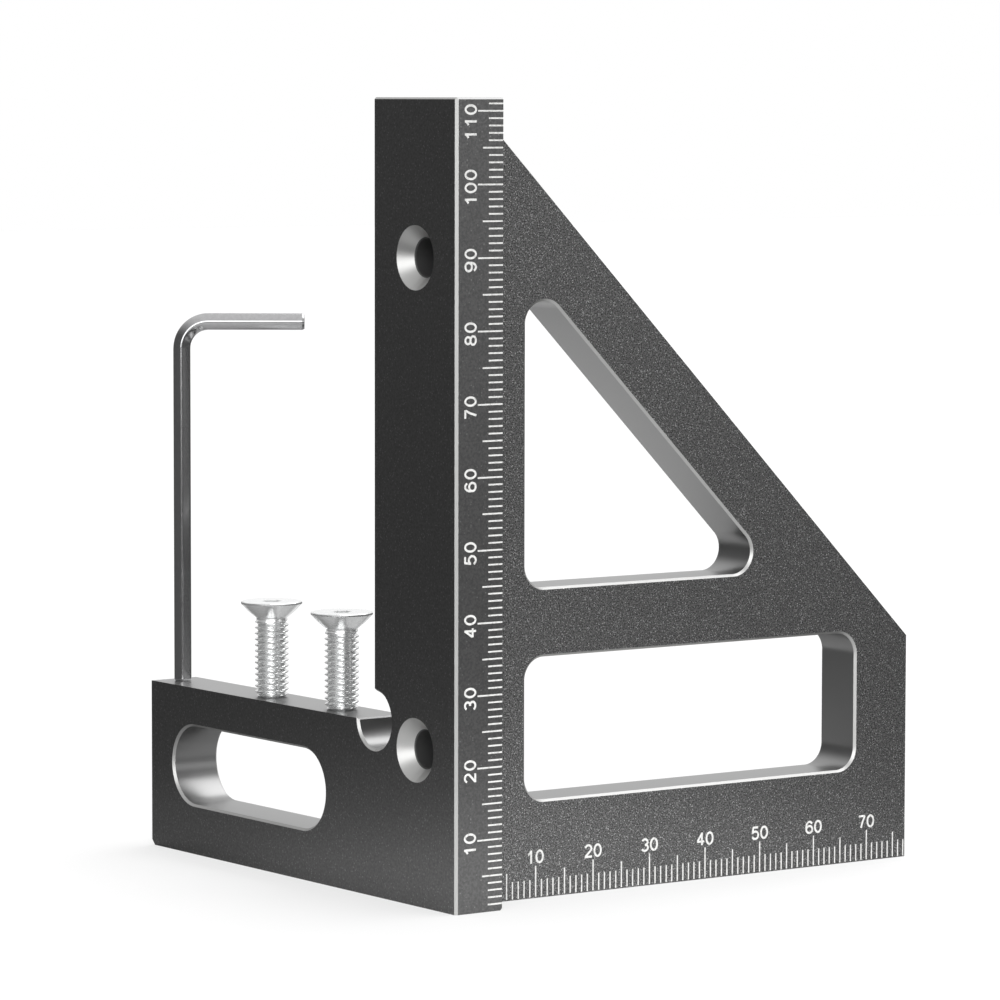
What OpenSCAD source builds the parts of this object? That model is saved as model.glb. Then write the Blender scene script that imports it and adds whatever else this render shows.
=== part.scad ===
// Two-plate set square with millimetre scales, its two fixing screws and their hex key.
// An L-shaped plate carries a three-cornered plate square to its inner face.

/* [L-shaped plate] */
// Thickness of the plate
plate_t = 7.8; // [6:0.1:10]
// Height of the upright arm
arm_h = 111.8; // [111.8:0.1:130]
// Width of the upright arm
arm_w = 19.8; // [16:0.1:24]
// Overall length of the foot, from the front edge of the arm
foot_l = 79.5; // [76:0.1:110]
// Height of the foot
foot_h = 24.75; // [23:0.05:30]
// Bevel on the front edge that the hand meets
edge_bevel = 0.4; // [0.2:0.1:0.8]
// Bevel on the top of the arm, along its outer face and its front edge
top_bevel = 0.25; // [0.15:0.05:0.6]
// Small bevel under the inner side of the foot
foot_bevel = 0.3; // [0.2:0.1:0.6]
// Bevel on the lower corner at the far end of the foot
heel_bevel = 0.8; // [0.4:0.1:2]
// Radius of the relief drilled in the inside corner
relief_r = 4.1; // [3:0.1:5]
// Distance of the relief's centre from the arm's back edge and from the foot's top
relief_shift = 0.2; // [0:0.1:0.4]
// Bevel where the relief meets the arm and the foot
relief_bevel = 0.2; // [0.1:0.05:0.4]

/* [Slot in the foot] */
// Radius of the slot's round ends
slot_r = 5.8; // [4:0.1:6.5]
// Distance between the centres of the slot's ends
slot_pitch = 29.2; // [15:0.1:30]
// Height of the slot's middle line
slot_z = 13.2; // [12:0.1:14]
// Metal left beyond the slot, at the far end of the foot
slot_margin = 6.1; // [4:0.1:10]

/* [Three-cornered plate] */
// Thickness of the plate
tri_t = 8; // [6:0.1:10]
// Length of the plate along its scale
tri_l = 77.3; // [76:0.1:78]
// Height of the short upright edge at the far end
tri_end_h = 32.9; // [30:0.1:34]
// Width of the upright bar beside the L-shaped plate
back_bar = 8.2; // [7.6:0.1:12]
// Width of the bar that carries the scale
scale_bar = 13.8; // [10:0.1:16]
// Width of the bar between the two windows
middle_bar = 9.75; // [6:0.05:14]
// Width of the short upright bar at the far end
end_bar = 9.7; // [6:0.1:14]
// Width of the sloping bar
slope_bar = 9.8; // [7:0.05:13]
// Height of the rectangular window
window_h = 20.1; // [14:0.1:24]
// Corner radius of both windows
window_r = 3.2; // [2:0.1:4]

/* [Engraved scales] */
// Distance between two marks
mark_step = 1; // [0.5:0.5:2]
// Width of a mark
mark_w = 0.24; // [0.15:0.01:0.3]
// Depth of a mark
mark_deep = 0.1; // [0.05:0.01:0.2]
// Length of an ordinary mark on the upright scale
upright_short = 2.4; // [1.5:0.1:3]
// Length of every fifth mark on the upright scale
upright_middle = 3.4; // [2.5:0.1:3.8]
// Length of every tenth mark on the upright scale
upright_long = 4.2; // [3.5:0.1:5]
// Length of an ordinary mark on the level scale
level_short = 2.45; // [1.5:0.05:3]
// Length of every fifth mark on the level scale
level_middle = 3.7; // [2.5:0.05:4]
// Length of every tenth mark on the level scale
level_long = 4.4; // [3.5:0.05:5]
// Height of the level scale's marks above the lower edge
level_lift = 0.15; // [0.1:0.05:0.5]

/* [Bevels on cut-outs] */
// Bevel round the slot, the relief and both windows
rim_bevel = 0.35; // [0.2:0.05:0.6]

/* [Screws] */
// Diameter over the thread
thread_d = 4.9; // [4:0.1:5]
// Overall length, head included
screw_l = 14; // [12:0.5:14.5]
// Diameter of the countersunk head
head_d = 8.9; // [8.4:0.1:9.1]
// Height of the short straight rim of the head
head_rim = 0.35; // [0.2:0.05:0.5]
// Height of the cone under the head
head_cone = 2.1; // [1.8:0.1:2.4]
// Play of the hex key in the socket of a screw
socket_play = 0.06; // [0.04:0.01:0.15]
// Depth of the socket
socket_deep = 1.8; // [1.4:0.1:2.2]
// Bevel on the tip of a screw
tip_bevel = 0.5; // [0.3:0.1:0.8]

/* [Screw holes] */
// Height of the lower screw hole
hole_z = 21.75; // [20:0.05:22]
// Distance of the upper screw hole from the top of the arm
hole_drop = 21.95; // [21:0.05:30]
// Play round the thread in the L-shaped plate
hole_play = 0.2; // [0.15:0.05:0.5]
// Play round the head in its countersink
mouth_play = 0.1; // [0.1:0.1:0.6]
// Depth of the countersink
mouth_deep = 2; // [1.8:0.1:2.2]
// Depth of thread that the tapped hole lacks round the screw
thread_deep = 0.35; // [0.3:0.05:0.5]
// Depth of the tapped hole past the tip of a screw
tap_past = 0.8; // [0.5:0.1:1.2]

/* [Hex key] */
// Size across the flats
key_af = 2.5; // [2.4:0.1:2.6]
// Overall height of the long arm
key_h = 55; // [45:1:60]
// Overall length of the short arm
key_l = 19.5; // [15:0.5:24]
// Bend radius at the middle of the bar
key_bend = 4; // [3:0.5:5]
// Small bevel at both ends
key_end_bevel = 0.3; // [0.2:0.1:0.4]

/* [Where the loose pieces stand] */
// Distance of the first screw from the back edge of the arm
first_screw_y = 14.2; // [12:0.1:20]
// Distance between the two standing screws
screw_step = 18.4; // [14:0.1:20]
// Distance of the key's middle from the far end of the foot
key_inset = 2.6; // [2:0.1:5]
// Turn of the key's short arm away from the triangle plate's scale, in degrees
key_turn = 35; // [0:1:60]

/* [Hidden] */
// Smoothness of round forms
$fn = 96;
// Overrun of every cut past the face that it opens
over = 1;
// Extra radius of a corner arc, so that it crosses the straight sides cleanly
corner_ease = 0.01;
// Corner to corner size of a hexagon, as a share of its size across the flats
hex_corner_share = 2 / sqrt(3);
// Marks from one long mark, or one middle mark, to the next
long_every = 10;
middle_every = 5;
// Inner face of the L-shaped plate, where both scales start
inner_x = plate_t / 2;
arm_y = arm_w / 2;
foot_end_y = foot_l - arm_y;
hole_d = thread_d + 2 * hole_play;
mouth_d = head_d + mouth_play;
// Growth of the countersink's diameter, as a share of its depth
cone_share = (mouth_d - hole_d) / mouth_deep;
upper_hole_z = arm_h - hole_drop;
// Length of screw that stands past the L-shaped plate once driven home
grip_l = screw_l - plate_t;
tap_deep = grip_l + tap_past;
tap_d = thread_d - 2 * thread_deep;
slot_far_y = foot_end_y - slot_margin - slot_r;
slot_near_y = slot_far_y - slot_pitch;
// Height of the upright edge of the three-cornered plate: the slope is 45 degrees
tri_h = tri_end_h + tri_l;
window_top = scale_bar + window_h;
upper_window_z = window_top + middle_bar;
// Sum of x and z along the inner side of the sloping bar
slope_sum = tri_h - slope_bar * sqrt(2);
// Centres of the corner arcs, anticlockwise
slot_corners = [[slot_near_y, slot_z], [slot_far_y, slot_z]];
rect_corners = [
    [back_bar + window_r, scale_bar + window_r],
    [tri_l - end_bar - window_r, scale_bar + window_r],
    [tri_l - end_bar - window_r, window_top - window_r],
    [back_bar + window_r, window_top - window_r]
];
corner_sum = slope_sum - window_r * sqrt(2);
slope_corners = [
    [back_bar + window_r, upper_window_z + window_r],
    [corner_sum - upper_window_z - window_r, upper_window_z + window_r],
    [back_bar + window_r, corner_sum - back_bar - window_r]
];

// Unit normal of the side from p to q, pointing out of an anticlockwise outline
function side_out(p, q) = [q[1] - p[1], p[0] - q[0]] / norm(q - p);

// Points where the straight sides meet the corner arcs
function tangent_points(corners, r) = [
    for (i = [0:len(corners) - 1])
        let (
            n = len(corners),
            here = corners[i],
            before = corners[(i + n - 1) % n],
            after = corners[(i + 1) % n]
        )
        each [here + r * side_out(before, here), here + r * side_out(here, after)]
];

// Bevel cutter on the upper face of a plate that lies flat, centred on z = 0
module rim_cut(corners, r, t) {
    n = len(corners);
    for (i = [0:n - 1]) {
        here = corners[i];
        next = corners[(i + 1) % n];
        turn = atan2(next[1] - here[1], next[0] - here[0]);
        translate([here[0], here[1], t / 2 - rim_bevel])
            cylinder(h = rim_bevel + over, r1 = r + corner_ease, r2 = r + corner_ease + rim_bevel + over);
        translate([here[0], here[1], t / 2])
            rotate([0, 0, turn])
                rotate([90, 0, 90])
                    linear_extrude(height = norm(next - here))
                        polygon([
                            [-r / 2, over],
                            [-r / 2, -rim_bevel],
                            [-r, -rim_bevel],
                            [-r - rim_bevel - over, over]
                        ]);
    }
}

// Cut-out with round corners through a plate that lies flat, bevelled on both faces
module window_cut(corners, r, t) {
    for (corner = corners)
        translate([corner[0], corner[1], -t / 2 - over])
            cylinder(h = t + 2 * over, r = r + corner_ease);
    translate([0, 0, -t / 2 - over])
        linear_extrude(height = t + 2 * over)
            polygon(tangent_points(corners, r));
    rim_cut(corners, r, t);
    mirror([0, 0, 1]) rim_cut(corners, r, t);
}

// Drilled relief, bevelled on both faces of a plate that lies flat and along both its edges
module relief_cut() {
    cylinder(h = plate_t + 2 * over, r = relief_r, center = true);
    translate([relief_r, -relief_shift, -plate_t / 2])
        rotate([0, 0, -90]) bevel_cut(relief_bevel, plate_t);
    translate([-relief_shift, relief_r, -plate_t / 2])
        rotate([0, 0, 90]) bevel_cut(relief_bevel, plate_t);
    for (side = [0, 1])
        mirror([0, 0, side])
            translate([0, 0, plate_t / 2 - rim_bevel])
                cylinder(h = rim_bevel + over, r1 = relief_r, r2 = relief_r + rim_bevel + over);
}

// Clearance hole with its countersink, along x, its mouth on the outer face
module screw_hole_cut() {
    rotate([0, 90, 0])
        cylinder(h = plate_t + 2 * over, d = hole_d, center = true);
    translate([-inner_x - over, 0, 0])
        rotate([0, 90, 0])
            cylinder(h = mouth_deep + over, d1 = mouth_d + cone_share * over, d2 = hole_d);
}

// Three-sided prism that takes a 45 degree bevel off an edge along z
module bevel_cut(size, length) {
    translate([0, 0, -over])
        linear_extrude(height = length + 2 * over)
            polygon([[-over, -over], [size + over, -over], [-over, size + over]]);
}

// Scale along x, its marks growing towards y: every fifth and every tenth are longer.
// The marks start before the x axis where they run out over an edge
module scale_marks(length, before, short_l, middle_l, long_l) {
    for (k = [1:floor((length - mark_w) / mark_step)]) {
        mark_l = k % long_every == 0 ? long_l : k % middle_every == 0 ? middle_l : short_l;
        translate([k * mark_step - mark_w / 2, -before])
            square([mark_w, mark_l + before]);
    }
}

// Marks up the front edge of the arm, from its inner corner
module upright_scale_cut() {
    translate([inner_x, mark_deep - arm_y, 0])
        rotate([90, 0, 0])
            linear_extrude(height = mark_deep + over)
                rotate(90)
                    scale_marks(arm_h, over, upright_short, upright_middle, upright_long);
}

// Marks along the lower edge of the three-cornered plate, on its front face
module level_scale_cut() {
    translate([0, mark_deep - tri_t / 2, level_lift])
        rotate([90, 0, 0])
            linear_extrude(height = mark_deep + over)
                scale_marks(tri_l, 0, level_short, level_middle, level_long);
}

module l_outline() {
    polygon([
        [-arm_y, 0],
        [foot_end_y - heel_bevel, 0],
        [foot_end_y, heel_bevel],
        [foot_end_y, foot_h],
        [arm_y, foot_h],
        [arm_y, arm_h],
        [-arm_y, arm_h]
    ]);
}

module l_plate() {
    color("#3f4042")
        difference() {
            rotate([90, 0, 90])
                difference() {
                    translate([0, 0, -inner_x])
                        linear_extrude(height = plate_t) l_outline();
                    window_cut(slot_corners, slot_r, plate_t);
                    translate([arm_y + relief_shift, foot_h + relief_shift, 0]) relief_cut();
                }
            for (z = [hole_z, upper_hole_z])
                translate([0, 0, z]) screw_hole_cut();
            translate([-inner_x, -arm_y, 0]) bevel_cut(edge_bevel, arm_h);
            translate([-inner_x, -arm_y, arm_h]) {
                rotate([-90, 0, 0]) bevel_cut(top_bevel, arm_w);
                rotate([0, 90, 0]) bevel_cut(top_bevel, plate_t);
            }
            translate([inner_x, -arm_y, 0])
                rotate([90, 0, 180]) bevel_cut(foot_bevel, foot_l);
            upright_scale_cut();
        }
}

module triangle_plate() {
    color("#4b4c4f")
        translate([inner_x, 0, 0])
            difference() {
                rotate([90, 0, 0])
                    difference() {
                        translate([0, 0, -tri_t / 2])
                            linear_extrude(height = tri_t)
                                polygon([[0, 0], [tri_l, 0], [tri_l, tri_end_h], [0, tri_h]]);
                        window_cut(rect_corners, window_r, tri_t);
                        window_cut(slope_corners, window_r, tri_t);
                    }
                for (z = [hole_z, upper_hole_z])
                    translate([-over, 0, z])
                        rotate([0, 90, 0])
                            cylinder(h = tap_deep + over, d = tap_d);
                level_scale_cut();
            }
}

// Countersunk screw that stands on its tip
module screw() {
    color("#c9cbcd")
        difference() {
            union() {
                cylinder(h = tip_bevel, d1 = thread_d - 2 * tip_bevel, d2 = thread_d);
                translate([0, 0, tip_bevel])
                    cylinder(h = screw_l - head_rim - head_cone - tip_bevel, d = thread_d);
                translate([0, 0, screw_l - head_rim - head_cone])
                    cylinder(h = head_cone, d1 = thread_d, d2 = head_d);
                translate([0, 0, screw_l - head_rim])
                    cylinder(h = head_rim, d = head_d);
            }
            translate([0, 0, screw_l - socket_deep])
                cylinder(h = socket_deep + over, d = (key_af + socket_play) * hex_corner_share, $fn = 6);
        }
}

module upper_screw() {
    translate([0, arm_y + first_screw_y, foot_h]) screw();
}

module lower_screw() {
    translate([0, arm_y + first_screw_y + screw_step, foot_h]) screw();
}

// Straight stretch of hexagon bar along z, with a flat towards x and a bevelled far end
module key_bar(length) {
    corner_r = key_af * hex_corner_share / 2;
    intersection() {
        rotate([0, 0, 30]) cylinder(h = length, r = corner_r, $fn = 6);
        union() {
            cylinder(h = length - key_end_bevel, r = corner_r + over);
            translate([0, 0, length - key_end_bevel])
                cylinder(h = key_end_bevel, r1 = corner_r, r2 = corner_r - key_end_bevel);
        }
    }
}

// L-shaped hexagon bar that stands on its long arm, on top of the foot
module hex_key() {
    long_l = key_h - key_af / 2 - key_bend;
    short_l = key_l - key_af / 2 - key_bend;
    color("#55565a")
        translate([0, foot_end_y - key_inset, foot_h])
            rotate([0, 0, -key_turn]) {
                translate([0, 0, long_l]) mirror([0, 0, 1]) key_bar(long_l);
                translate([key_bend, 0, long_l]) {
                    rotate([90, 0, 0])
                        rotate([0, 0, 90])
                            rotate_extrude(angle = 90)
                                translate([key_bend, 0])
                                    rotate(30) circle(d = key_af * hex_corner_share, $fn = 6);
                    translate([0, 0, key_bend])
                        rotate([0, 90, 0]) key_bar(short_l);
                }
            }
}

l_plate();
triangle_plate();
upper_screw();
lower_screw();
hex_key();
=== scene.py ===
import math

import bpy
import numpy as np
from mathutils import Matrix, Vector


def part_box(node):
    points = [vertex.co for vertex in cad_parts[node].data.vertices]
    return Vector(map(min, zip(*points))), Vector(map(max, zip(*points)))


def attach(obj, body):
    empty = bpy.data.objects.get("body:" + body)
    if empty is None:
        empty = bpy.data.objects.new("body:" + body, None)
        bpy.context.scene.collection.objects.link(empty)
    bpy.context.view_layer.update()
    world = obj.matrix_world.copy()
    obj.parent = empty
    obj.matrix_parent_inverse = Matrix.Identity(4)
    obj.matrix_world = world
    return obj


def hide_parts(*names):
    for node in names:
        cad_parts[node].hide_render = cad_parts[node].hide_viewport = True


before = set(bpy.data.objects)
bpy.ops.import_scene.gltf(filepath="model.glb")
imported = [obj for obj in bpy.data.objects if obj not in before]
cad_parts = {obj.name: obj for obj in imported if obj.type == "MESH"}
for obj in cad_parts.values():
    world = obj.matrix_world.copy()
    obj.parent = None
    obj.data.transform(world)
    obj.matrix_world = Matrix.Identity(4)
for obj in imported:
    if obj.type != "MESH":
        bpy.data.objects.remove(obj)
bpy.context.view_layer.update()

mm = 0.001
lLow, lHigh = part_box("l_plate")
triLow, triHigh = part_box("triangle_plate")
print("frame loaded:", len(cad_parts), "nodes")


# small helpers

def linearColour(hexValue):
    # sRGB to linear: c / 12.92 for dark values, ((c + 0.055) / 1.055) ^ 2.4 for the rest
    parts = [int(hexValue[i:i + 2], 16) / 255 for i in (1, 3, 5)]
    return [c / 12.92 if c <= 0.04045 else ((c + 0.055) / 1.055) ** 2.4 for c in parts] + [1.0]


def addNode(tree, kind, settings=None, inputs=None, links=None):
    # settings are attributes, inputs are socket values, links are sockets and what feeds them
    node = tree.nodes.new(kind)
    for name, value in (settings or {}).items():
        setattr(node, name, value)
    for socket, value in (inputs or {}).items():
        node.inputs[socket].default_value = value
    for socket, source in (links or {}).items():
        tree.links.new(source, node.inputs[socket])
    return node


def freshMaterial(name):
    # an empty material, what tells a node where it is, and the socket that shows on the surface
    material = bpy.data.materials.new(name)
    material.use_nodes = True
    tree = material.node_tree
    tree.nodes.clear()
    where = addNode(tree, "ShaderNodeTexCoord").outputs
    return material, tree, where, addNode(tree, "ShaderNodeOutputMaterial").inputs["Surface"]


def meshObject(name, points, faces, smoothAngle=None):
    # points is an (n, 3) array in metres, faces a list of corner lists
    mesh = bpy.data.meshes.new(name)
    mesh.from_pydata(np.asarray(points).tolist(), [], faces)
    mesh.validate()
    if smoothAngle is not None:
        mesh.shade_smooth()
        mesh.set_sharp_from_angle(angle=math.radians(smoothAngle))
    mesh.update()
    thing = bpy.data.objects.new(name, mesh)
    bpy.context.scene.collection.objects.link(thing)
    return thing


def dress(thing, material):
    thing.data.materials.clear()
    thing.data.materials.append(material)


def gridFaces(rows, columns):
    # quads between neighbouring rows of a grid that closes round its columns
    r, c = np.meshgrid(np.arange(rows - 1), np.arange(columns), indexing="ij")
    after = (c + 1) % columns
    return np.stack([r * columns + c, r * columns + after,
                     (r + 1) * columns + after, (r + 1) * columns + c], axis=-1).reshape(-1, 4)


def closedGrid(rows):
    # rows is (rows, columns, 3); both ends are closed by a fan to the middle of the end row
    count, columns = rows.shape[:2]
    points = np.concatenate([rows.reshape(-1, 3), rows[:1].mean(axis=1), rows[-1:].mean(axis=1)])
    here = np.arange(columns)
    after = (here + 1) % columns
    middle = np.full(columns, count * columns)
    last = (count - 1) * columns
    fans = np.stack([middle, after, here, middle + 1, last + here, last + after], axis=1)
    return points, gridFaces(count, columns).tolist() + fans.reshape(-1, 3).tolist()


# camera at the photograph's place, held by the foot of the L-shaped plate's near front edge

cameraSet = {
    "turn": 35.466,         # degrees round the object, from the front towards the left
    "dip": 4.645,           # degrees that it looks down
    "roll": 0.098,          # degrees
    "focal": 4965.5,        # pixels on a frame of 1000
    "frame": 1000.0,
    "distance": 680.76,     # mm, along the axis to the foot of that edge
    "aside": -6.075,        # mm, from the axis to it
    "below": 56.97,
    "sensor": 36.0,
    "clip": (0.01, 20.0),   # m
}


def makeCamera(s):
    turn, dip, roll = (math.radians(s[k]) for k in ("turn", "dip", "roll"))
    ahead = Vector((math.sin(turn) * math.cos(dip), math.cos(turn) * math.cos(dip),
                    -math.sin(dip)))
    side = Vector((math.cos(turn), -math.sin(turn), 0))
    up = side.cross(ahead)
    right = side * math.cos(roll) + up * math.sin(roll)
    top = up * math.cos(roll) - side * math.sin(roll)
    away = right * s["aside"] - top * s["below"] + ahead * s["distance"]
    place = Vector((lLow[0], lLow[1], lLow[2])) - away * mm
    data = bpy.data.cameras.new("camera")
    data.sensor_width = s["sensor"]
    data.lens = s["focal"] / s["frame"] * s["sensor"]
    data.clip_start, data.clip_end = s["clip"]
    camera = bpy.data.objects.new("camera", data)
    camera.matrix_world = Matrix((
        (right.x, top.x, -ahead.x, place.x),
        (right.y, top.y, -ahead.y, place.y),
        (right.z, top.z, -ahead.z, place.z),
        (0, 0, 0, 1),
    ))
    bpy.context.scene.collection.objects.link(camera)
    bpy.context.scene.camera = camera


makeCamera(cameraSet)
print("camera placed")


# finishes of the plates, the enamel, the screws and the key, with painted shade in the plates'
# screw holes

beadBlasted = {
    "plain": "#868686", "dark": "#404040", "fleck": "#ffffff",
    "grainMm": 0.2,         # bead marks, drawn coarser than the real 0.1 mm so that they show
    "roughness": 0.42,
    "flecks": 0.54,         # share of the cells that a bead has cut bright
    "fleckEdge": (0.1, 0.42),       # how a fleck fades, as a share of its cell
    "ramp": (0.38, 0.62),   # noise values of the dark and of the plain tone
    "bump": 0.9, "bumpMm": 0.02,
}
fineBlasted = {
    **beadBlasted, "plain": "#747474", "dark": "#666666", "fleck": "#9c9c9c",
    "grainMm": 0.35,        # finer than the eye sees, drawn as a faint cloud
    "roughness": 0.32, "flecks": 0.2, "bump": 0.8,
}
milled = {"metal": "#8a8a8a", "roughness": 0.34}
brightCut = {"metal": "#aeaead", "roughness": 0.42}
toolMarks = {"mm": 0.12, "stretch": (0.15, 0.15, 1.0), "bump": 0.1, "bumpMm": 0.01}
# screw holes in both plates: a dull rough thread, and a dark colour painted in as the shade deep
# in the holes
bore = {
    "paintedShade": "#3a3a3a", "roughness": 0.6,
    "heights": (21.75, 89.85), "radius": 2.8, "reach": 12.0,    # mm, of both screw holes
}
paint = {
    "white": "#dfdfdd", "worn": "#bebebc", "roughness": 0.55,
    "wearMm": 0.5, "ramp": (0.3, 0.5),      # noise values of the worn and of the white tone
}
zinc = {
    "metal": "#eeefef", "metallic": 0.8, "roughness": 0.21,
    "hazeMm": 0.4, "hazeTone": 0.8, "bump": 0.1, "bumpMm": 0.01,
}
blackened = {
    "metal": "#bcbcbd", "metallic": 1.0, "roughness": 0.14,
    "hazeMm": 0.6, "hazeTone": 0.8, "bump": 0.05, "bumpMm": 0.01,
}
slantShare = 0.25           # bevels look along the plate's thickness at least this much
planeMm = 0.02              # a point this near to an outer face lies on it
alongX, alongY, alongZ = (1, 0, 0), (0, 1, 0), (0, 0, 1)


def grainColour(tree, place, look):
    # noise for the blasted skin, and sparse lighter facets where a bead has cut
    cellScale = 1 / (look["grainMm"] * mm)
    fine = addNode(tree, "ShaderNodeTexNoise", None,
                   {"Scale": cellScale, "Detail": 3.0, "Roughness": 0.6}, {"Vector": place})
    tone = addNode(tree, "ShaderNodeValToRGB", None, None, {"Fac": fine.outputs["Fac"]})
    for stop, position, colour in zip(tone.color_ramp.elements, look["ramp"], ("dark", "plain")):
        stop.position, stop.color = position, linearColour(look[colour])
    cells = addNode(tree, "ShaderNodeTexVoronoi", None, {"Scale": cellScale}, {"Vector": place})
    near = addNode(tree, "ShaderNodeMapRange", None,
                   {"From Min": look["fleckEdge"][0], "From Max": look["fleckEdge"][1],
                    "To Min": 1.0, "To Max": 0.0}, {"Value": cells.outputs["Distance"]})
    chance = addNode(tree, "ShaderNodeSeparateColor", None, None,
                     {"Color": cells.outputs["Color"]})
    chosen = addNode(tree, "ShaderNodeMapRange", None,
                     {"From Min": 1 - look["flecks"], "From Max": 1.0},
                     {"Value": chance.outputs["Red"]})
    both = addNode(tree, "ShaderNodeMath", {"operation": "MULTIPLY"}, None,
                   {0: near.outputs["Result"], 1: chosen.outputs["Result"]})
    mixed = addNode(tree, "ShaderNodeMix", {"data_type": "RGBA"},
                    {7: linearColour(look["fleck"])},
                    {0: both.outputs[0], 6: tone.outputs["Color"]})
    return mixed.outputs[2], fine.outputs["Fac"]


def lookingAlong(tree, normal, axis, share):
    # 1 where the surface looks along the axis, either way, at least as squarely as the share says
    along = addNode(tree, "ShaderNodeVectorMath", {"operation": "DOT_PRODUCT"}, {1: axis},
                    {0: normal})
    size = addNode(tree, "ShaderNodeMath", {"operation": "ABSOLUTE"}, None,
                   {0: along.outputs["Value"]})
    return addNode(tree, "ShaderNodeMath", {"operation": "GREATER_THAN"}, {1: share},
                   {0: size.outputs[0]}).outputs[0]


def onPlane(tree, place, across, offset):
    # 1 where the point's distance along the direction is that of the plane
    along = addNode(tree, "ShaderNodeVectorMath", {"operation": "DOT_PRODUCT"}, {1: across},
                    {0: place})
    return addNode(tree, "ShaderNodeMath", {"operation": "COMPARE"},
                   {1: offset, 2: planeMm * mm}, {0: along.outputs["Value"]}).outputs[0]


def inBore(tree, place, height):
    # 1 where the point is nearer than the bore's radius to its axis, which runs along X to its
    # reach
    flat = addNode(tree, "ShaderNodeVectorMath", {"operation": "MULTIPLY"}, {1: (0, 1, 1)},
                   {0: place})
    away = addNode(tree, "ShaderNodeVectorMath", {"operation": "DISTANCE"},
                   {1: (0, 0, height * mm)}, {0: flat.outputs[0]})
    near = addNode(tree, "ShaderNodeMath", {"operation": "LESS_THAN"},
                   {1: bore["radius"] * mm}, {0: away.outputs["Value"]})
    along = addNode(tree, "ShaderNodeVectorMath", {"operation": "DOT_PRODUCT"}, {1: alongX},
                    {0: place})
    before = addNode(tree, "ShaderNodeMath", {"operation": "LESS_THAN"},
                     {1: bore["reach"] * mm}, {0: along.outputs["Value"]})
    return addNode(tree, "ShaderNodeMath", {"operation": "MULTIPLY"}, None,
                   {0: near.outputs[0], 1: before.outputs[0]}).outputs[0]


def largestOf(tree, sockets):
    largest = sockets[0]
    for other in sockets[1:]:
        largest = addNode(tree, "ShaderNodeMath", {"operation": "MAXIMUM"}, None,
                          {0: largest, 1: other}).outputs[0]
    return largest


def plateFinish(name, look, outerPlanes, thicknessAxis):
    # dark anodised aluminium with a dull, faintly sparkling blasted skin on its outer faces; walls
    # that were milled smooth before dyeing reflect more sharply; bevels and countersinks cut
    # afterwards show lighter metal with faint tool marks; the deep bores are dull, and their dark
    # colour is painted shade of the deep holes
    material, tree, where, surface = freshMaterial(name)
    place = where["Object"]
    colour, grain = grainColour(tree, place, look)
    bump = addNode(tree, "ShaderNodeBump", None,
                   {"Strength": look["bump"], "Distance": look["bumpMm"] * mm}, {"Height": grain})
    skin = addNode(tree, "ShaderNodeBsdfPrincipled", None,
                   {"Metallic": 1.0, "Roughness": look["roughness"]},
                   {"Base Color": colour, "Normal": bump.outputs["Normal"]})
    along = addNode(tree, "ShaderNodeMapping", None, {"Scale": toolMarks["stretch"]},
                    {"Vector": place})
    marks = addNode(tree, "ShaderNodeTexNoise", None,
                    {"Scale": 1 / (toolMarks["mm"] * mm), "Detail": 2.0},
                    {"Vector": along.outputs["Vector"]})
    cutBump = addNode(tree, "ShaderNodeBump", None,
                      {"Strength": toolMarks["bump"], "Distance": toolMarks["bumpMm"] * mm},
                      {"Height": marks.outputs["Fac"]})
    wall, bevel = (addNode(tree, "ShaderNodeBsdfPrincipled", None,
                           {"Metallic": 1.0, "Base Color": linearColour(cut["metal"]),
                            "Roughness": cut["roughness"]},
                           {"Normal": cutBump.outputs["Normal"]}) for cut in (milled, brightCut))
    # painted shade: a dark matt colour inside the bores stands in for the shade deep in the screw
    # holes
    dullAndShadedBore = addNode(tree, "ShaderNodeBsdfPrincipled", None,
                   {"Base Color": linearColour(bore["paintedShade"]), "Roughness": bore["roughness"]})
    slanted = lookingAlong(tree, where["Normal"], thicknessAxis, slantShare)
    bored = largestOf(tree, [inBore(tree, place, height) for height in bore["heights"]])
    outer = largestOf(tree, [onPlane(tree, place, *plane) for plane in outerPlanes])
    seen = wall
    for share, shader in ((slanted, bevel), (bored, dullAndShadedBore), (outer, skin)):
        seen = addNode(tree, "ShaderNodeMixShader", None, None,
                       {0: share, 1: seen.outputs[0], 2: shader.outputs[0]})
    tree.links.new(seen.outputs[0], surface)
    return material


def paintFinish(name, look):
    # white enamel rubbed into the engraved marks: even, slightly chalky white
    material, tree, where, surface = freshMaterial(name)
    wear = addNode(tree, "ShaderNodeTexNoise", None,
                   {"Scale": 1 / (look["wearMm"] * mm), "Detail": 3.0},
                   {"Vector": where["Object"]})
    tone = addNode(tree, "ShaderNodeValToRGB", None, None, {"Fac": wear.outputs["Fac"]})
    for stop, position, colour in zip(tone.color_ramp.elements, look["ramp"], ("worn", "white")):
        stop.position, stop.color = position, linearColour(look[colour])
    shader = addNode(tree, "ShaderNodeBsdfPrincipled", None, {"Roughness": look["roughness"]},
                     {"Base Color": tone.outputs["Color"]})
    tree.links.new(shader.outputs["BSDF"], surface)
    return material


def barFinish(name, look):
    # turned or drawn steel: a metal with slight unevenness of tone
    material, tree, where, surface = freshMaterial(name)
    haze = addNode(tree, "ShaderNodeTexNoise", None,
                   {"Scale": 1 / (look["hazeMm"] * mm), "Detail": 4.0},
                   {"Vector": where["Object"]})
    metal = linearColour(look["metal"])
    tone = addNode(tree, "ShaderNodeMix", {"data_type": "RGBA"},
                   {6: [c * look["hazeTone"] for c in metal[:3]] + [1.0], 7: metal},
                   {0: haze.outputs["Fac"]})
    bump = addNode(tree, "ShaderNodeBump", None,
                   {"Strength": look["bump"], "Distance": look["bumpMm"] * mm},
                   {"Height": haze.outputs["Fac"]})
    shader = addNode(tree, "ShaderNodeBsdfPrincipled", None,
                     {"Metallic": look["metallic"], "Roughness": look["roughness"]},
                     {"Base Color": tone.outputs[2], "Normal": bump.outputs["Normal"]})
    tree.links.new(shader.outputs["BSDF"], surface)
    return material


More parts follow.
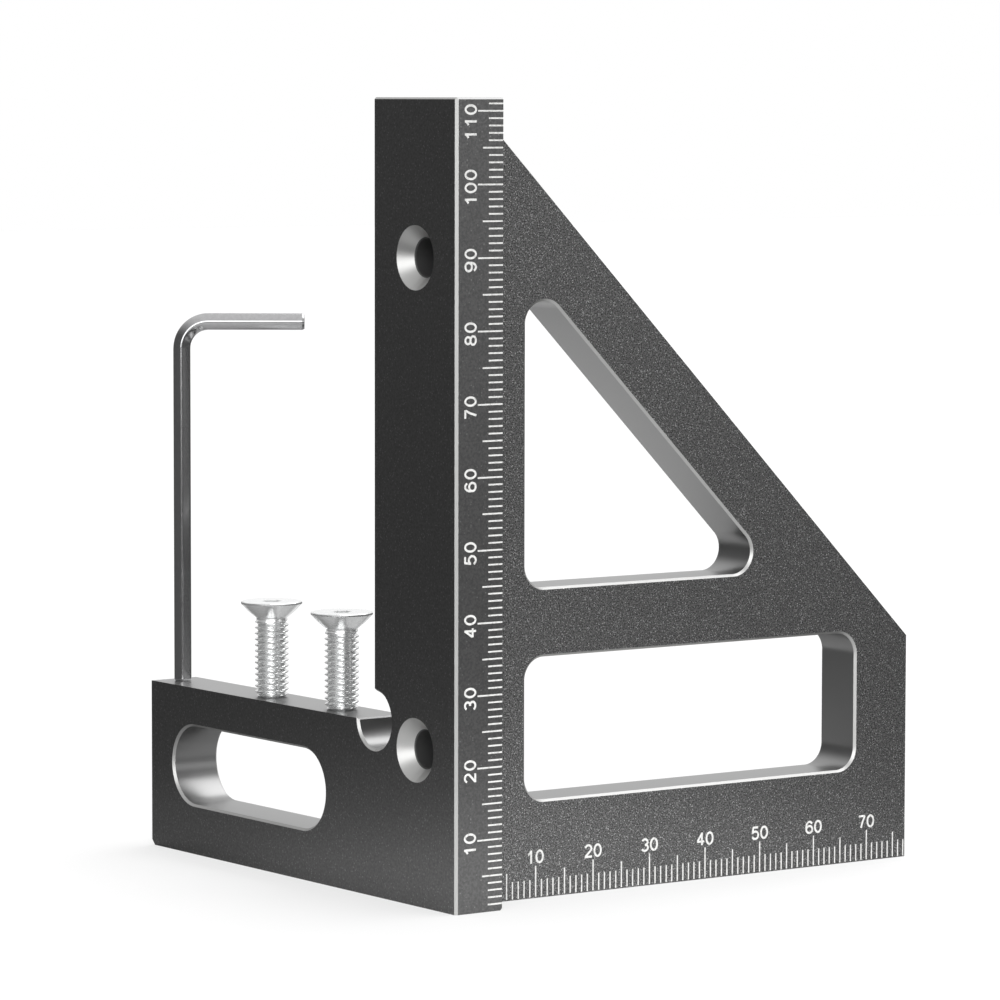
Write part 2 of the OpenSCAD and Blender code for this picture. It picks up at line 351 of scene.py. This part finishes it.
# outer faces of both plates: a direction and the distance along it
slope = math.sqrt(0.5)
lPlanes = [
    (alongX, lLow[0]), (alongX, lHigh[0]), (alongY, lLow[1]), (alongY, lHigh[1]),
    (alongY, -lLow[1]), (alongZ, lLow[2]), (alongZ, lHigh[2]),
]
triPlanes = [
    (alongY, triLow[1]), (alongY, triHigh[1]), (alongX, triLow[0]), (alongX, triHigh[0]),
    (alongZ, triLow[2]), ((slope, 0, slope), slope * (triLow[0] + triHigh[2])),
]
dress(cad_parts["l_plate"],
      plateFinish("fine-blasted anodised aluminium", fineBlasted, lPlanes, alongX))
dress(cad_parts["triangle_plate"],
      plateFinish("bead-blasted anodised aluminium", beadBlasted, triPlanes, alongY))
enamel = paintFinish("white enamel fill", paint)
zincFinish = barFinish("bright zinc-plated steel", zinc)
keyFinish = barFinish("blackened drawn steel", blackened)
print("plates finished")


# scales: engraved marks filled with enamel, all in mm

uprightScale = {
    "last": 111, "mark": 0.24, "short": 2.4, "five": 3.4, "ten": 4.2,
    "digitHigh": 2.05, "digitFoot": 4.4,    # from the edge that the marks start at
    "pitch": 1.76, "drop": 0.3, "lastDrop": 1.45,   # labels sit a little below their marks
}
levelScale = {
    "last": 77, "mark": 0.24, "short": 2.45, "five": 3.7, "ten": 4.4, "lift": 0.15,
    "digitHigh": 1.95, "digitFoot": 4.85, "pitch": 1.62,
}
inlay = {
    "below": 0.02, "depth": 0.1, "spill": 0.01,     # enamel in the engraved marks
    "proud": 0.015, "root": 0.06,                   # enamel of the numerals
}
digitPen = {"stroke": 0.31, "wide": 1.44, "steps": 28, "layer": 0.0008}
everyFive, everyTen = 5, 10


def boxes(low, high):
    # one box for each row of low and high corners: each corner takes low or high on each axis
    pick = np.array([[0, 0, 0], [1, 0, 0], [1, 1, 0], [0, 1, 0],
                     [0, 0, 1], [1, 0, 1], [1, 1, 1], [0, 1, 1]])
    points = np.where(pick[None], high[:, None], low[:, None]).reshape(-1, 3)
    sides = np.array([[0, 3, 2, 1], [4, 5, 6, 7], [0, 1, 5, 4],
                      [1, 2, 6, 5], [2, 3, 7, 6], [3, 0, 4, 7]])
    faces = sides[None] + len(pick) * np.arange(len(low))[:, None, None]
    return points, faces.reshape(-1, 4).tolist()


def grooves(s, face):
    # a mark at each whole mm, longest at every tenth and longer at every fifth; its enamel
    # reaches from just under the face to the groove's floor, and a hair into its walls
    numbers = np.arange(1, s["last"] + 1)
    lengths = np.where(numbers % everyTen == 0, s["ten"],
                       np.where(numbers % everyFive == 0, s["five"], s["short"]))
    half = np.full(len(numbers), s["mark"] / 2 + inlay["spill"]) * mm
    near = np.full(len(numbers), face + inlay["below"] * mm)
    far = np.full(len(numbers), face + (inlay["depth"] + inlay["spill"]) * mm)
    return numbers * mm, lengths * mm, half, near, far


def uprightMarks(s):
    # from the arm's inner edge back along x by the mark's length, one above another
    place, lengths, half, near, far = grooves(s, lLow[1])
    edge = np.full(len(place), lHigh[0] - inlay["below"] * mm)
    low = np.stack([lHigh[0] - lengths - inlay["spill"] * mm, near, place - half], axis=1)
    high = np.stack([edge, far, place + half], axis=1)
    return meshObject("upright_scale_marks", *boxes(low, high))


def levelMarks(s):
    # from just above the plate's lower edge up by the mark's length, one after another along x
    place, lengths, half, near, far = grooves(s, triLow[1])
    foot = np.full(len(place), (s["lift"] - inlay["spill"]) * mm)
    top = foot + lengths + 2 * inlay["spill"] * mm
    low = np.stack([triLow[0] + place - half, near, foot], axis=1)
    high = np.stack([triLow[0] + place + half, far, top], axis=1)
    return meshObject("level_scale_marks", *boxes(low, high))


def arc(x, y, wide, high, start, end):
    # part of an ellipse: (x + wide cos a, y + high sin a), a from start to end in degrees
    angle = np.radians(np.linspace(start, end, digitPen["steps"]))
    return np.stack([x + wide * np.cos(angle), y + high * np.sin(angle)], axis=1)


def line(*points):
    return np.array(points, dtype=float)


def digitStrokes():
    # middle lines of the pen for each digit: x from -0.5 to 0.5 across it, y from 0 to 1 up it
    whole = [0, 360]
    six = [arc(0, 0.31, 0.5, 0.31, *whole), arc(0.02, 0.5, 0.52, 0.5, 190, 38)]
    return {
        "0": [arc(0, 0.5, 0.5, 0.5, *whole)],
        "1": [line((-0.3, 0.72), (-0.02, 0.84), (0.16, 1.0)), line((0.14, 1.06), (0.14, -0.06))],
        "2": [np.concatenate([arc(0, 0.71, 0.46, 0.29, 165, -32), line((-0.46, 0.02))]),
              line((-0.55, 0.0), (0.55, 0.0))],
        "3": [arc(0, 0.745, 0.43, 0.255, 155, -90), arc(0, 0.26, 0.48, 0.26, 90, -158)],
        "4": [line((0.2, -0.06), (0.2, 1.06)), line((0.22, 1.0), (-0.5, 0.3)),
              line((-0.55, 0.27), (0.55, 0.27))],
        "5": [line((0.45, 1.0), (-0.33, 1.0)), line((-0.31, 1.05), (-0.44, 0.44)),
              arc(-0.02, 0.31, 0.5, 0.33, 148, -155)],
        "6": six,
        "7": [line((-0.5, 1.0), (0.52, 1.0)), line((0.48, 0.98), (0.12, 0.5), (-0.14, -0.06))],
        "8": [arc(0, 0.75, 0.42, 0.25, *whole), arc(0, 0.26, 0.5, 0.26, *whole)],
        "9": [np.array([0, 1]) - stroke for stroke in six],
    }


def penStroke(middle, layer):
    # a rectangle carried along the middle line: its corners are middle + side * stroke / 2 across
    # it, at the enamel's top and bottom; a line that comes back to its start is closed to a ring
    ring = np.allclose(middle[0], middle[-1])
    if ring:
        middle = middle[:-1]
        ahead = np.roll(middle, -1, axis=0) - np.roll(middle, 1, axis=0)
    else:
        ahead = np.gradient(middle, axis=0)
    ahead /= np.linalg.norm(ahead, axis=1, keepdims=True)
    across = np.stack([-ahead[:, 1], ahead[:, 0]], axis=1) * digitPen["stroke"] / 2
    top = np.full((len(middle), 1), inlay["proud"] - layer * digitPen["layer"])
    root = np.full((len(middle), 1), -inlay["root"])
    left, right = middle + across, middle - across
    rows = np.stack([np.hstack([left, top]), np.hstack([right, top]),
                     np.hstack([right, root]), np.hstack([left, root])], axis=1)
    count, sides = rows.shape[:2]
    side = np.arange(sides)
    after = (side + 1) % sides
    last = (count - 1) * sides + side
    if ring:
        closing = np.stack([last, last[after], after, side], axis=1)
    else:
        closing = np.stack([side[::-1], last])
    return rows.reshape(-1, 3), np.concatenate([gridFaces(count, sides), closing])


def label(text, s):
    # a label's strokes: x along it, centred on its ink, y up from its foot, z out of the face
    size = np.array([digitPen["wide"], s["digitHigh"]]) - digitPen["stroke"]
    parts = [penStroke(stroke * size + np.array([i * s["pitch"], digitPen["stroke"] / 2]), layer)
             for i, digit in enumerate(text) for layer, stroke in enumerate(strokes[digit])]
    reach = np.concatenate([points for points, faces in parts])[:, 0]
    shift = np.array([(reach.min() + reach.max()) / 2, 0, 0])
    return [(points - shift, faces) for points, faces in parts]


def uprightPlace(points, number, s):
    # a label that reads up the arm: its x runs up, its y back from the inner edge
    drop = s["lastDrop"] if number + everyTen > s["last"] else s["drop"]
    return np.stack([lHigh[0] - (s["digitFoot"] + points[:, 1]) * mm,
                     lLow[1] - points[:, 2] * mm,
                     (number - drop + points[:, 0]) * mm], axis=1)


def levelPlace(points, number, s):
    # a label that reads along the plate: its x runs along it, its y up
    return np.stack([triLow[0] + (number + points[:, 0]) * mm,
                     triLow[1] - points[:, 2] * mm,
                     (s["digitFoot"] + points[:, 1]) * mm], axis=1)


def numerals(name, place, s):
    # a label at every tenth mark, all in one mesh
    parts = [(place(points, number, s), faces) for number in range(everyTen, s["last"], everyTen)
             for points, faces in label(str(number), s)]
    starts = np.cumsum([0] + [len(points) for points, faces in parts])
    allPoints = np.concatenate([points for points, faces in parts])
    allFaces = np.concatenate([faces + start for (points, faces), start in zip(parts, starts)])
    return meshObject(name, allPoints, allFaces.tolist())


strokes = digitStrokes()
uprightInlays = (uprightMarks(uprightScale),
                 numerals("upright_scale_numerals", uprightPlace, uprightScale))
levelInlays = (levelMarks(levelScale),
               numerals("level_scale_numerals", levelPlace, levelScale))
for inlays, body, slot in ((uprightInlays, "l_body", "l_plate_anodised"),
                           (levelInlays, "triangle_body", "triangle_plate_anodised")):
    for inlaid in inlays:
        dress(inlaid, enamel)
        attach(inlaid, body)
print("scales engraved")


# screws, in mm

screwShape = {
    "thread": 4.9, "pitch": 0.85, "threadDeep": 0.46, "length": 14.0, "tip": 0.5,
    "crest": 1.25, "flank": 2.9,        # height and steepness of the thread's wave, then clipped
    "neckShare": 0.55,                  # where the thread fades out, from its root to its crest
    "head": 8.9, "rim": 0.35, "cone": 2.1,
    "rimBevel": 0.12, "rimBevelHigh": 0.1,
    "socket": 2.56, "socketDeep": 1.8,
    "socketEase": 0.08, "socketEaseDeep": 0.1,
    "socketRing": (1.1, 0.15),          # a ring on the head round the socket: its share and gap
    "socketFloor": 0.35,                # last ring on the socket's floor, as a share of it
    "columns": 96, "perPitch": 12, "smoothAngle": 28,
}


def screwMesh(name, node, s):
    # radius = core + depth * wave(height / pitch - turn), the wave a flattened triangle, which
    # gives a helical ridge; it is capped by the tip's bevel and fades out under the head
    low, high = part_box(node)
    turn = np.linspace(0, 2 * np.pi, s["columns"], endpoint=False)
    outer, core = s["thread"] / 2, s["thread"] / 2 - s["threadDeep"]
    neck = s["length"] - s["rim"] - s["cone"]
    height = np.linspace(0, neck, int(neck / s["pitch"] * s["perPitch"]) + 1)[:, None]
    phase = (height / s["pitch"] - turn[None] / (2 * np.pi)) % 1.0
    wave = np.clip(s["crest"] - np.abs(phase - 0.5) * s["flank"], 0, 1)
    fade = np.clip((neck - height) / s["pitch"], 0, 1)
    shank = core + (outer - core) * (wave * fade + (1 - fade) * s["neckShare"])
    shank = np.minimum(shank, outer - s["tip"] + height)
    # the head and its socket: a height and the radii round it, up outside and down inside
    hexagon = s["socket"] / 2 / np.cos((turn + np.pi / 6) % (np.pi / 3) - np.pi / 6)
    ring = np.ones_like(turn)
    headR, top = s["head"] / 2, s["length"]
    share, gap = s["socketRing"]
    steps = [
        (neck + s["cone"] / 2, ring * (outer + headR) / 2),
        (neck + s["cone"], ring * headR),
        (top - s["rimBevelHigh"], ring * headR),
        (top, ring * (headR - s["rimBevel"])),
        (top, hexagon * share + gap),
        (top, hexagon + s["socketEase"]),
        (top - s["socketEaseDeep"], hexagon),
        (top - s["socketDeep"], hexagon),
        (top - s["socketDeep"], hexagon * s["socketFloor"]),
    ]
    z = np.concatenate([height + 0 * shank] + [up * ring[None] for up, radii in steps])
    r = np.concatenate([shank] + [radii[None] for up, radii in steps])
    grid = np.stack([r * np.cos(turn), r * np.sin(turn), z], axis=-1) * mm
    grid += np.array([(low[0] + high[0]) / 2, (low[1] + high[1]) / 2, low[2]])
    return meshObject(name, *closedGrid(grid), smoothAngle=s["smoothAngle"])


for which in ("upper", "lower"):
    screw = screwMesh(which + "_countersunk_screw", which + "_screw", screwShape)
    dress(screw, zincFinish)
    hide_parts(which + "_screw")
    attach(screw, which + "_screw_body")
print("screws cut")


# hex key, in mm

keyShape = {
    "acrossFlats": 2.5, "corner": 0.4, "cornerSteps": 5, "bend": 4.0, "arcSteps": 20,
    "long": 55.0, "short": 19.5,
    "endBevel": 0.3, "endShare": 0.86,  # a bevelled end as a share of the bar's section
    "turn": 35.0, "inset": 2.6,         # short arm's turn, long arm's place from the foot's end
    "smoothAngle": 25,
}


def keySection(s):
    # hexagon with round corners: each is an arc of 60 degrees about a point drawn in from it
    inner = (s["acrossFlats"] / 2 - s["corner"]) / math.cos(math.pi / 6)
    corners = np.arange(6) * math.pi / 3 + math.pi / 6
    sweep = np.linspace(-math.pi / 6, math.pi / 6, s["cornerSteps"])
    angle = corners[:, None] + sweep[None]
    across = inner * np.cos(corners)[:, None] + s["corner"] * np.cos(angle)
    along = inner * np.sin(corners)[:, None] + s["corner"] * np.sin(angle)
    return across.ravel(), along.ravel()


def hexKey(s):
    # the section is carried up a straight, round a quarter circle and along a second straight;
    # at each step: place + across * normal in the bend's plane + along * the axis of the bend
    low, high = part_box("hex_key")
    half, quarter = s["acrossFlats"] / 2, math.pi / 2
    rise, top, end = s["long"] - half - s["bend"], s["long"] - half, s["short"] - half
    angle = np.linspace(0, quarter, s["arcSteps"])
    bend = np.stack([s["bend"] * (1 - np.cos(angle)), rise + s["bend"] * np.sin(angle),
                     angle, np.ones_like(angle)], axis=1)
    # each step: how far out, how high, the bar's turn, and the section's share
    steps = np.concatenate([
        [(0, 0, 0, s["endShare"]), (0, s["endBevel"], 0, 1)],
        bend,
        [(end - s["endBevel"], top, quarter, 1), (end, top, quarter, s["endShare"])],
    ])
    out, up, lean, size = (column[:, None] for column in steps.T)
    across, along = keySection(s)
    reach = out - across * np.cos(lean) * size
    height = up + across * np.sin(lean) * size
    aside = along * size
    turn = math.radians(-s["turn"])
    x = reach * math.cos(turn) - aside * math.sin(turn)
    y = reach * math.sin(turn) + aside * math.cos(turn) + lHigh[1] / mm - s["inset"]
    grid = np.stack([x, y, height + low[2] / mm], axis=-1) * mm
    return meshObject("bent_hex_key", *closedGrid(grid[:, ::-1]), smoothAngle=s["smoothAngle"])


key = hexKey(keyShape)
dress(key, keyFinish)
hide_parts("hex_key")
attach(key, "key_body")
print("hex key bent")


# studio

studio = {
    "floorHalf": 3.0,       # m
    "floorDrop": 0.02,      # mm that the floor lies under the object
    "floor": "#dcdcdc", "floorWhite": 0.62,
    "cards": [
        # middle, how far from it the white starts and ends to darken, and how white it is
        {"middle": (0.0, -0.03, 0.0), "near": 0.03, "far": 0.14, "share": 1.0},
        {"middle": (0.05, 0.115, 0.0), "near": 0.03, "far": 0.075, "share": 1.0},
        {"middle": (-0.04, 0.08, 0.0), "near": 0.0, "far": 0.065, "share": 0.35},
    ],
    "beyond": 0.12,         # share of white that is left past the cards
    "dim": 0.14,            # what surrounds the object where no panel stands
    "backdrop": {"towards": (0.58, 0.81, 0.1), "fade": (0.45, 0.85), "strength": 1.0},
    "panels": [
        # direction, cosines between which it fades in, strength
        {"towards": (-0.72, -0.66, 0.2), "fade": (0.8, 0.95), "strength": 3.2},
        {"towards": (0.03, -1.0, 0.05), "fade": (0.6, 0.96), "strength": 1.5},
        {"towards": (0.0, 0.0, 1.0), "fade": (0.3, 0.9), "strength": 0.9},
    ],
    "lamp": {"from": (0.5, -0.1, 0.86), "strength": 2.0, "spread": 60.0},
}


def pathIs(tree, *names):
    # 1 for the named kinds of ray
    path = addNode(tree, "ShaderNodeLightPath")
    return largestOf(tree, [path.outputs[name] for name in names])


def panelLight(tree, direction, panel):
    # fades in smoothly as the direction nears the panel's own
    facing = addNode(tree, "ShaderNodeVectorMath", {"operation": "DOT_PRODUCT"},
                     {1: Vector(panel["towards"]).normalized()}, {0: direction})
    return addNode(tree, "ShaderNodeMapRange", {"interpolation_type": "SMOOTHSTEP"},
                   {"From Min": panel["fade"][0], "From Max": panel["fade"][1],
                    "To Min": 0.0, "To Max": panel["strength"]},
                   {"Value": facing.outputs["Value"]}).outputs["Result"]


def makeWorld(s):
    # a dim studio with soft bright panels; the white backdrop fills the camera's view, and metal
    # sees it too, where it stands behind the object
    world = bpy.data.worlds.new("studio")
    world.use_nodes = True
    tree = world.node_tree
    tree.nodes.clear()
    direction = addNode(tree, "ShaderNodeTexCoord").outputs["Generated"]
    backdrop = panelLight(tree, direction, s["backdrop"])
    total = addNode(tree, "ShaderNodeMath", {"operation": "ADD"}, {1: s["dim"]}, {0: backdrop})
    for panel in s["panels"]:
        total = addNode(tree, "ShaderNodeMath", {"operation": "ADD"}, None,
                        {0: total.outputs[0], 1: panelLight(tree, direction, panel)})
    mirrored = addNode(tree, "ShaderNodeMath", {"operation": "MULTIPLY"}, None,
                       {0: pathIs(tree, "Is Glossy Ray", "Is Transmission Ray"), 1: backdrop})
    white = largestOf(tree, [pathIs(tree, "Is Camera Ray"), mirrored.outputs[0]])
    around = addNode(tree, "ShaderNodeBackground", None, {"Color": (1, 1, 1, 1)},
                     {"Strength": total.outputs[0]})
    seen = addNode(tree, "ShaderNodeBackground", None, {"Color": (1, 1, 1, 1), "Strength": 1.0})
    both = addNode(tree, "ShaderNodeMixShader", None, None,
                   {0: white, 1: around.outputs[0], 2: seen.outputs[0]})
    addNode(tree, "ShaderNodeOutputWorld", None, None, {"Surface": both.outputs[0]})
    bpy.context.scene.world = world


def makeFloor(s):
    half, level = s["floorHalf"], lLow[2] - s["floorDrop"] * mm
    corners = [(-half, -half, level), (half, -half, level), (half, half, level),
               (-half, half, level)]
    floor = meshObject("floor", corners, [[0, 1, 2, 3]])
    material, tree, where, surface = freshMaterial("pale matt floor")
    # round white cards lie on it: to all but the camera the floor darkens away from them
    white = [pathIs(tree, "Is Camera Ray")]
    for card in s["cards"]:
        away = addNode(tree, "ShaderNodeVectorMath", {"operation": "DISTANCE"},
                       {1: card["middle"]}, {0: where["Object"]})
        white.append(addNode(tree, "ShaderNodeMapRange", {"interpolation_type": "SMOOTHSTEP"},
                             {"From Min": card["near"], "From Max": card["far"],
                              "To Min": card["share"], "To Max": s["beyond"]},
                             {"Value": away.outputs["Value"]}).outputs["Result"])
    tone = addNode(tree, "ShaderNodeMix", {"data_type": "RGBA"},
                   {6: linearColour("#000000"), 7: linearColour(s["floor"])},
                   {0: largestOf(tree, white)})
    matt = addNode(tree, "ShaderNodeBsdfDiffuse", None, None, {"Color": tone.outputs[2]})
    glow = addNode(tree, "ShaderNodeEmission", None, {"Color": (1, 1, 1, 1), "Strength": 1.0})
    share = addNode(tree, "ShaderNodeMath", {"operation": "MULTIPLY"}, {1: s["floorWhite"]},
                    {0: pathIs(tree, "Is Camera Ray")})
    both = addNode(tree, "ShaderNodeMixShader", None, None,
                   {0: share.outputs[0], 1: matt.outputs[0], 2: glow.outputs[0]})
    tree.links.new(both.outputs[0], surface)
    dress(floor, material)


def makeLamp(s):
    # a broad even light from high on the right, with soft shadows
    data = bpy.data.lights.new("high softbox", "SUN")
    data.energy = s["strength"]
    data.angle = math.radians(s["spread"])
    lamp = bpy.data.objects.new("high softbox", data)
    lamp.rotation_mode = "QUATERNION"
    lamp.rotation_quaternion = (-Vector(s["from"])).to_track_quat("-Z", "Y")
    bpy.context.scene.collection.objects.link(lamp)


makeWorld(studio)
makeFloor(studio)
makeLamp(studio["lamp"])
bpy.context.scene.view_settings.view_transform = "Standard"
print("studio lit")
